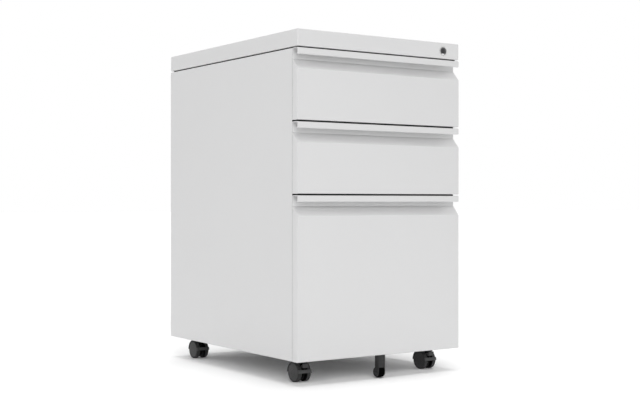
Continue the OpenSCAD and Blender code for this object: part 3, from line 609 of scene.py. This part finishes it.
class PEDESTAL_OT_finishes(bpy.types.Operator):
    """Make every paint, metal and plastic of the pedestal"""
    bl_idname = "pedestal.finishes"
    bl_label = "Finishes"

    def execute(self, context):
        p = context.scene.pedestal_paint
        peel, zinc, nylon, metal = orange_peel(), drawn_zinc(), moulded_grain(), machined_metal()
        finish("powder_coat", peel, p.coat, 850.0, 0.45, 0.04, 0.006, p.peel, 0.0002, metallic=0.3)
        finish("tray_paint", peel, p.tray, 1100.0, 0.45, 0.05, 0.01, p.peel, 0.0002, metallic=0.3)
        finish("zinc_steel", zinc, p.zinc, 130.0, 0.36, 0.07, 0.06, 0.15, 0.0001, metallic=0.9)
        finish("cage_steel", metal, p.cage, 700.0, 0.3, 0.08, 0.03, 0.1, 0.0001, metallic=1.0)
        finish("bright_nickel", metal, p.nickel, 800.0, 0.24, 0.08, 0.02, 0.05, 0.0001, metallic=1.0)
        finish("satin_nickel", metal, p.rim, 800.0, 0.3, 0.08, 0.02, 0.05, 0.0001, metallic=1.0)
        finish("dark_chrome_and_shade", metal, p.dish_plating_and_shade, 800.0, 0.22, 0.06, 0.04, 0.04, 0.0001, metallic=1.0)
        finish("tyre_rubber", nylon, p.roller, 2000.0, 0.8, 0.08, 0.1, 0.2, 0.00012, specular=0.0)
        finish("dark_core", metal, p.core, 900.0, 0.38, 0.08, 0.06, 0.08, 0.0001, metallic=0.6)
        # Near-black for the top spacer and for the strips of painted shade in the seams and gaps.
        finish("spacer_black", nylon, p.gap_shade_tone, 2200.0, 0.7, 0.05, 0.05, 0.2, 0.0001, specular=0.1)
        finish("guide_nylon", nylon, p.guide, 1800.0, 0.5, 0.05, 0.02, 0.15, 0.0001)
        hood = finish("hood_nylon", nylon, p.nylon, 2800.0, 0.5, 0.06, 0.06, 0.25, 0.00012, specular=0.12)
        disc = finish("wheel_nylon", nylon, p.wheel, 2400.0, 0.48, 0.07, 0.08, 0.2, 0.00012, specular=0.15)
        tread = finish("tread_nylon", nylon, p.tread, 2400.0, 0.5, 0.07, 0.08, 0.2, 0.00012, specular=0.12)
        # Painted shade: the hoods' hollows and the wheels' inner faces get a near-black tint, for the shadow between
        # the wheels.
        wheel, well_shade_group, anywhere = context.scene.pedestal_wheel, well_shade_mask(), 1.0
        inner = wheel.space / 2 + 0.0005
        for made, reach, half in ((hood, wheel.hollow, anywhere), (disc, anywhere, inner), (tread, anywhere, inner)):
            paint_well_shade(made, well_shade_group, reach, half, p.painted_well_shade)
        finish("bracket_black", peel, p.bracket, 1000.0, 0.4, 0.05, 0.05, 0.2, 0.0002, specular=0.3)
        return {"FINISHED"}


# ------------------------------------------------------------------ casing


def ring(half_x, near_y, far_y, radius, level):
    """A rounded rectangle at one height."""
    corners = [(-half_x, near_y), (half_x, near_y), (half_x, far_y), (-half_x, far_y)]
    return placed(rounded(corners, radius, 5), 2, level)


def cover_shape(sheet):
    """The top cover: rounded rectangles one inside or under another. From the top they follow the rounded edge,
    the wall, the bend under it and the lip, and then the inner faces back up to the underside of the top."""
    t, r = sheet.thickness, sheet.cover_edge
    low = t + sheet.bend * 0.6
    outer = edge_arc(0.0, TOP_Z, r, -r)
    under = [(d, z) for z, d in edge_arc(COVER_Z, 0.0, low, low)]
    rings = [ring(HALF_W - d, FRONT_Y + d, BACK_Y - d, max(r - d, 0.0002), z) for d, z in outer + under]
    for z, d in ((COVER_Z, 0.0), (COVER_Z + t, 0.0)):
        rings.append(ring(HALF_W - sheet.lip, FRONT_Y + sheet.front_lip, BACK_Y - sheet.lip, 0.003 + d, z))
    inner = 2 * t
    for d, z in ((inner, COVER_Z + t), (t, COVER_Z + inner), (t, TOP_Z - inner), (inner, TOP_Z - t)):
        rings.append(ring(HALF_W - d, FRONT_Y + d, BACK_Y - d, 0.0012, z))
    return capped(np.stack(rings))


def channel_path(half_x, near_y, far_y, x_end, radius, depth):
    """A U-shaped path seen from above, moved inwards by depth: down the near flange, round a bend, along the side,
    round the next bend and up the far flange. Past the bend's own radius the corner is a mitre."""
    r = max(radius - depth, 0.00005)
    x, y0, y1 = half_x - depth, near_y + depth, far_y - depth
    turn = np.linspace(0, math.pi / 2, 6)
    near = np.stack([x - r + r * np.sin(turn), y0 + r - r * np.cos(turn)], axis=1)
    far = np.stack([x - r + r * np.cos(turn), y1 - r + r * np.sin(turn)], axis=1)
    return np.vstack([[x_end, y0], near, far, [x_end, y1]])


def side_panel_shape(sheet):
    """The right-hand side panel: a C-shaped section (wall, two bends and two flanges) carried round a U-shaped
    path, with a mitre where the flanges meet."""
    t, w, top = sheet.thickness, sheet.flange, SHELL_Z - sheet.reveal
    section = bent_strip([(w, top), (0, top), (0, BODY_Z), (w, BODY_Z)], t, sheet.bend, 5)
    rows = [placed(channel_path(HALF_W, SHELL_Y, BACK_Y, HALF_W - w, sheet.corner, min(d, w - HAIR)), 2, z)
            for d, z in section]
    v, q, _ = grid(np.stack(rows), wrap_rows=True)
    count = len(rows[0])
    first = np.arange(len(rows)) * count
    return v, q, [first, first + count - 1]


def seam_shade_shape(sheet):
    """The right-hand near-black strip on the side panel's front flange, which the closed drawer fronts nearly touch:
    painted shade that darkens the seam between the side panel and the fronts.
    """
    x, y, deep = HALF_W - sheet.corner, SHELL_Y, sheet.seam_shade
    outline = [(x - sheet.seam_shade_w, y), (x - sheet.seam_shade_w, y - deep), (x, y - deep), (x, y)]
    return bar(rounded(outline, [0, deep * 0.4, deep * 0.2, 0], 3), 2, BODY_Z + 0.001, SHELL_Z - 0.001)


class PEDESTAL_OT_casing(bpy.types.Operator):
    """Make the top cover, both side panels and the near-black strips of painted shade in their seams, and paint the
    rest of the casing
    """
    bl_idname = "pedestal.casing"
    bl_label = "Casing"

    def execute(self, context):
        sheet = context.scene.pedestal_sheet
        coat = material("powder_coat")
        cover = piece("top_cover_shell", cover_shape(sheet), "cabinet", coat, ["top_cover"])
        radius, through = context.scene.pedestal_lock.barrel, 0.003
        cut(cover, turned([(-through, 0), (-through, radius), (through, radius), (through, 0)],
                          (LOCK_X, FRONT_Y, LOCK_Z), 1))
        piece("side_panel_pair", mirrored(side_panel_shape(sheet)), "cabinet", coat,
              ["side_panels"])
        # Painted shade: near-black strips in the seams beside the drawer fronts.
        piece("casing_seam_shades", mirrored(seam_shade_shape(sheet)), "cabinet", material("spacer_black"))
        dress(coat, "back_panel", "base_pan", "front_rail")
        # The top spacer's near-black is partly its own colour and partly painted shade in the gap under the cover.
        dress(material("spacer_black"), "top_spacer")
        dress(material("zinc_steel"), "slide_uprights", "outer_slide_rails", "lock_bar", "caster_plates")
        dress(material("guide_nylon"), "lock_bar_guides")
        dress(material("bright_nickel"), "caster_fixings", "lock_nut")
        return {"FINISHED"}


# ------------------------------------------------------------------ drawers


def drawer_front_shape(node, sheet, pull):
    """A drawer front: one bent strip from the pull's turned-in hem over the lip, down the wall and the slope to the
    face and its lower return, carried across the width, and a plate that closes each end."""
    low, high = box(node)
    t, near, far, top, foot = sheet.thickness, low[1], high[1], high[2], low[2]
    path = [(near + t + pull.hem, top - pull.lip + t), (near + t, top - pull.lip + t), (near + t, top - t),
            (far - t, top - t), (far - t, top - pull.wall), (near, top - pull.slope), (near, foot), (far, foot)]
    strip = bar(bent_strip(path, t, sheet.bend, 6), 0, -HALF_W, HALF_W, sheet.edge)
    end = [(far, top - pull.wall), (far - t + sheet.bend / 2, top - pull.wall), (near + t / 2, top - pull.slope),
           (near + t / 2, foot + t / 2), (far, foot + t / 2)]
    plate = bar(rounded(end, [0.0, 0.0, 0.001, 0.0005, 0.0005], 3), 0, HALF_W - t, HALF_W - HAIR, HAIR, 2)
    return joined(strip, mirrored(plate))


def gap_shade_shape(node, gap_shade_strip):
    """A near-black strip on a drawer front's top flange: painted shade that darkens the gap under the front above. It
    is a rectangle with its two upper corners rounded, carried across the width."""
    low, high = box(node)
    y, z, tall = low[1] + gap_shade_strip.setback, high[2], gap_shade_strip.tall
    outline = [(y, z), (y + gap_shade_strip.deep, z), (y + gap_shade_strip.deep, z + tall), (y, z + tall)]
    return bar(rounded(outline, [0, 0, tall * 0.4, tall * 0.4], 4), 0, 0.001 - HALF_W, HALF_W - gap_shade_strip.short,
               tall * 0.3)


class PEDESTAL_OT_drawers(bpy.types.Operator):
    """Make the three drawer fronts with their pulls and the near-black strips of painted shade in their gaps, and
    paint the trays behind them
    """
    bl_idname = "pedestal.drawers"
    bl_label = "Drawers"

    def execute(self, context):
        sheet, pull = context.scene.pedestal_sheet, context.scene.pedestal_pull
        for n in (1, 2, 3):
            piece(f"drawer_{n}_face", drawer_front_shape(f"drawer_{n}_front", sheet, pull), f"drawer_{n}",
                  material("powder_coat"), [f"drawer_{n}_front"])
            if n > 1:
                # A near-black strip of painted shade in the gap over this front.
                piece(f"drawer_{n}_seal", gap_shade_shape(f"drawer_{n}_front", context.scene.pedestal_seal),
                      f"drawer_{n}", material("spacer_black"))
            dress(material("tray_paint"), *(f"drawer_{n}_{part}" for part in ("liner", "sides", "floor", "back")))
            dress(material("zinc_steel"), f"drawer_{n}_catch", f"drawer_{n}_inner_rails")
        dress(material("cage_steel"), "drawer_1_ball_cages", "drawer_2_ball_cages",
              "drawer_3_outer_ball_cages", "drawer_3_inner_ball_cages")
        dress(material("zinc_steel"), "drawer_3_middle_rails", "hanging_folder_bars")
        return {"FINISHED"}


# ------------------------------------------------------------------ lock


def lock_rim_shape(lock):
    """The barrel with its rim, turned about the plug's axis: from behind the dish along the barrel, out under the
    rim, round the rim's edge on a quarter circle, over its face to the dish and down behind it."""
    front, back = BARREL[0][1], BARREL[1][1]
    bore = PLUG_R + 0.0004
    edge = edge_arc(front, RIM_R, lock.edge, -lock.edge, 7)
    outline = [(back, bore), (back, lock.barrel), (FRONT_Y, lock.barrel), (FRONT_Y, RIM_R), *edge,
               (front, lock.dish + 0.0002), (front + 0.0002, lock.dish), (front + lock.sink + 0.001, bore)]
    return turned(outline, (LOCK_X, 0, LOCK_Z), 1, LOCK_STEPS)


def lock_dish_shape(lock):
    """The dark dish between the rim and the plug, turned about the plug's axis: a rolled outer edge, a shallow cone
    and a short wall down to the plug's face. Its darkness is partly a dark plating and partly painted shade and dark
    reflections in the lock's recess."""
    front, bore = BARREL[0][1], PLUG_R + 0.00005
    outline = [(front + lock.sink + 0.0008, lock.dish - HAIR), (front + 0.0003, lock.dish - HAIR),
               (front + 0.0002, lock.dish - 0.0004), (front + lock.slope, bore + 0.0002),
               (front + lock.slope + 0.0002, bore), (front + lock.sink + 0.0008, bore)]
    return turned(outline, (LOCK_X, 0, LOCK_Z), 1, LOCK_STEPS)


class PEDESTAL_OT_lock(bpy.types.Operator):
    """Make the lock's rim, barrel and dish, and finish its plug and cam"""
    bl_idname = "pedestal.lock"
    bl_label = "Lock"

    def execute(self, context):
        lock = context.scene.pedestal_lock
        piece("lock_rim", lock_rim_shape(lock), "cabinet", material("satin_nickel"),
              ["lock_barrel"], sharp=50)
        piece("lock_dish", lock_dish_shape(lock), "cabinet", material("dark_chrome_and_shade"), sharp=60)
        dress(material("dark_core"), "lock_plug")
        dress(material("zinc_steel"), "lock_cam")
        return {"FINISHED"}


# ------------------------------------------------------------------ casters


def moved(shape, offset):
    """The shape moved by an offset."""
    v, q, c = shape
    return v + np.asarray(offset), q, c


def wheel_middle(node):
    """The middle of a wheel pair's axle, half the pair's width and the wheels' radius."""
    low, high = box(node)
    return (low + high) / 2, (high[0] - low[0]) / 2, (high[2] - low[2]) / 2


def tyre_shape(node, wheel):
    """A pair of tyres, each a ring turned about the axle: flat inside, with a small inner edge, a straight tread
    and a quarter circle at the outer edge."""
    middle, half, r = wheel_middle(node)
    inner, core, e, small = wheel.space / 2, r - wheel.tread, wheel.edge, 0.0006
    side = half - wheel.dome
    near, far = edge_arc(inner, r, small, -small)[::-1], edge_arc(side, r, -e, -e)
    outline = [(inner, core - 0.003), *near, *far, (side, core), (side - 0.001, core - 0.001)]
    return moved(mirrored(turned(outline, (0, middle[1], middle[2]), 0, WHEEL_STEPS)), (middle[0], 0, 0))


def disc_shape(node, wheel):
    """A pair of wheel discs inside their tyres. Outside, each bulges as a shallow dome, x = x0 + dome (1 - (r / R)
    squared), up to a narrow groove round the hub cap, which stands level with the dome's middle."""
    middle, half, r = wheel_middle(node)
    rim, groove, cap = r - wheel.tread, 0.0004, wheel.cap
    top, back = half - 0.0003, wheel.space / 2 + 0.0004
    face = top - wheel.dome
    dome = [(face + wheel.dome * (1 - (x / rim) ** 2), x) for x in np.linspace(rim, cap + groove, 8)]
    outline = [(back, 0), (back, rim), (face - groove, rim), *dome, (face - groove, cap + groove),
               (face - groove, cap), (top - 0.0003, cap), (top, cap - groove), (top, 0)]
    return moved(mirrored(turned(outline, (0, middle[1], middle[2]), 0, WHEEL_STEPS)), (middle[0], 0, 0))


def roller_shape(wheel):
    """The fifth wheel's roller: a solid wheel with rounded edges and a shallow recess in each face."""
    middle, half, r = wheel_middle("fifth_wheel_roller")
    e = wheel.edge * 0.6
    edge = edge_arc(half, r, -e, -e)
    side = [(half, r * 0.72), (half - 0.0003, r * 0.68), (half - 0.0003, 0)]
    outline = [(-x, z) for x, z in side[::-1]] + [(-x, z) for x, z in edge[::-1]] + edge + side
    return turned(outline, middle, 0, 64)


class PEDESTAL_OT_casters(bpy.types.Operator):
    """Make the four casters' discs and tyres and the fifth wheel's roller, and soften the mouldings"""
    bl_idname = "pedestal.casters"
    bl_label = "Casters"

    def execute(self, context):
        wheel = context.scene.pedestal_wheel
        for k in (1, 2, 3, 4):
            pair = f"caster_{k}_wheels"  # the node and its body
            piece(f"caster_{k}_tyres", tyre_shape(pair, wheel), pair, material("tread_nylon"),
                  [pair], weld=True)
            piece(f"caster_{k}_discs", disc_shape(pair, wheel), pair, material("wheel_nylon"),
                  weld=True)
            dress(material("hood_nylon"), f"caster_{k}_hood")
            soften(f"caster_{k}_hood", wheel.soft)
            dress(material("bright_nickel"), f"caster_{k}_axle")
        for node in ("caster_1_brake", "caster_2_brake"):
            dress(material("hood_nylon"), node)
            soften(node, wheel.soft)
        dress(material("bracket_black"), "fifth_wheel_bracket")
        soften("fifth_wheel_bracket", wheel.soft * 0.8)
        piece("fifth_wheel_tyre", roller_shape(wheel), "fifth_wheel", material("tyre_rubber"),
              ["fifth_wheel_roller"], weld=True)
        dress(material("bracket_black"), "fifth_wheel_axle")
        return {"FINISHED"}


# ------------------------------------------------------------------ studio

WHITE = (1, 1, 1, 1)


def soft_light(name, place, width, strength, only=()):
    """A distant soft light in the direction of a place, as wide in the sky as an angle in degrees. It is seen by
    rough surfaces and not in mirroring ones, or the other way round if it lights some objects only."""
    data = bpy.data.lights.new(name, "SUN")
    data.angle = math.radians(width)
    data.energy = strength
    lamp = bpy.data.objects.new(name, data)
    lamp.location = place
    lamp.rotation_euler = (-Vector(place)).to_track_quat("-Z", "Y").to_euler()
    lamp.visible_glossy = bool(only)
    lamp.visible_diffuse = not only
    bpy.context.scene.collection.objects.link(lamp)
    if only:
        lit = bpy.data.collections.new(name)
        for obj in only:
            lit.objects.link(obj)
        lamp.light_linking.receiver_collection = lit


def seen_rays(tree):
    """One for rays that come from the camera, a mirror or glass, and zero for the others."""
    path = tree.nodes.new("ShaderNodeLightPath").outputs
    direct = calculated(tree, "MAXIMUM", path["Is Camera Ray"], path["Is Glossy Ray"])
    return calculated(tree, "MAXIMUM", direct, path["Is Transmission Ray"])


def make_world(studio):
    """Even light all round, and a plain white background to rays that see it."""
    world = bpy.data.worlds.new("studio")
    world.use_nodes = True
    tree = world.node_tree
    tree.nodes.clear()
    dome, sight = (tree.nodes.new("ShaderNodeBackground") for _ in range(2))
    mix, out = tree.nodes.new("ShaderNodeMixShader"), tree.nodes.new("ShaderNodeOutputWorld")
    feed(tree, dome, {"Color": WHITE, "Strength": studio.dome})
    feed(tree, sight, {"Color": WHITE, "Strength": 1.0})
    feed(tree, mix, {0: seen_rays(tree), 1: dome.outputs[0], 2: sight.outputs[0]})
    feed(tree, out, {0: mix.outputs[0]})
    bpy.context.scene.world = world


def make_floor(studio):
    """A wide plain floor, a little brighter to rays that see it, so that it meets the background without a line."""
    side = 30.0
    mesh = bpy.data.meshes.new("floor")
    mesh.from_pydata([(-side, -side, 0), (side, -side, 0), (side, side, 0), (-side, side, 0)], [], [(0, 1, 2, 3)])
    floor = bpy.data.objects.new("floor", mesh)
    bpy.context.scene.collection.objects.link(floor)
    made = bpy.data.materials.new("floor_paint")
    made.use_nodes = True
    tree = made.node_tree
    shader = tree.nodes["Principled BSDF"]
    tint = tree.nodes.new("ShaderNodeMix")
    tint.data_type = "RGBA"
    feed(tree, tint, {"Factor": seen_rays(tree), "A": (*studio.floor, 1), "B": WHITE})
    feed(tree, shader, {"Roughness": 1.0, "Specular IOR Level": 0.0, "Base Color": tint.outputs["Result"]})
    mesh.materials.append(made)


def make_camera():
    """A camera at half the cabinet's height, level, that sees the left side and the front."""
    data = bpy.data.cameras.new("camera")
    data.lens = 64.47
    data.sensor_width = 36.0
    data.shift_y = 0.0021
    data.clip_start = 0.05
    data.clip_end = 200
    camera = bpy.data.objects.new("camera", data)
    camera.location = (-1.3446, -2.0218, 0.3423)
    camera.rotation_euler = Vector((0.5619, 0.8272, 0)).to_track_quat("-Z", "Y").to_euler()
    bpy.context.scene.collection.objects.link(camera)
    bpy.context.scene.camera = camera


class PEDESTAL_OT_studio(bpy.types.Operator):
    """Set up the floor, the even light, the soft lights and the camera"""
    bl_idname = "pedestal.studio"
    bl_label = "Studio"

    def execute(self, context):
        studio = context.scene.pedestal_studio
        make_world(studio)
        make_floor(studio)
        soft_light("overhead", (0, 0, 4), 30, studio.over)
        soft_light("front", (-1.46, -3.14, 2), 35, studio.front)
        soft_light("left", (-3.46, 0, 2), 35, studio.left)
        soft_light("back", (2.45, 2.45, 2), 35, studio.back)
        soft_light("glint", (2.75, -1.26, 2.66), 40, studio.glint, [bpy.data.objects["lock_dish"]])
        make_camera()
        context.scene.view_settings.view_transform = "Standard"
        return {"FINISHED"}


# ------------------------------------------------------------------ panel and registration


class PEDESTAL_PT_panel(bpy.types.Panel):
    """The pedestal's settings and steps"""
    bl_idname = "PEDESTAL_PT_panel"
    bl_label = "Pedestal"
    bl_space_type = "VIEW_3D"
    bl_region_type = "UI"
    bl_category = "Pedestal"

    def draw(self, context):
        for name, group in SETTINGS.items():
            frame_box = self.layout.box()
            for key in group.__annotations__:
                frame_box.prop(getattr(context.scene, name), key)
        for step in STEPS:
            self.layout.operator(step.bl_idname)


SETTINGS = {"pedestal_sheet": PedestalSheet, "pedestal_pull": PedestalPull, "pedestal_seal": PedestalGapShade,
            "pedestal_lock": PedestalLock, "pedestal_wheel": PedestalWheel, "pedestal_paint": PedestalPaint,
            "pedestal_studio": PedestalStudio}
STEPS = [PEDESTAL_OT_finishes, PEDESTAL_OT_casing, PEDESTAL_OT_drawers, PEDESTAL_OT_lock, PEDESTAL_OT_casters,
         PEDESTAL_OT_studio]
CLASSES = [*SETTINGS.values(), *STEPS, PEDESTAL_PT_panel]


def register():
    for cls in CLASSES:
        bpy.utils.register_class(cls)
    for name, group in SETTINGS.items():
        setattr(bpy.types.Scene, name, PointerProperty(type=group))


def unregister():
    for name in SETTINGS:
        delattr(bpy.types.Scene, name)
    for cls in reversed(CLASSES):
        bpy.utils.unregister_class(cls)


def main():
    register()
    for step in STEPS:
        area, name = step.bl_idname.split(".")
        getattr(getattr(bpy.ops, area), name)()


if __name__ == "__main__":
    main()
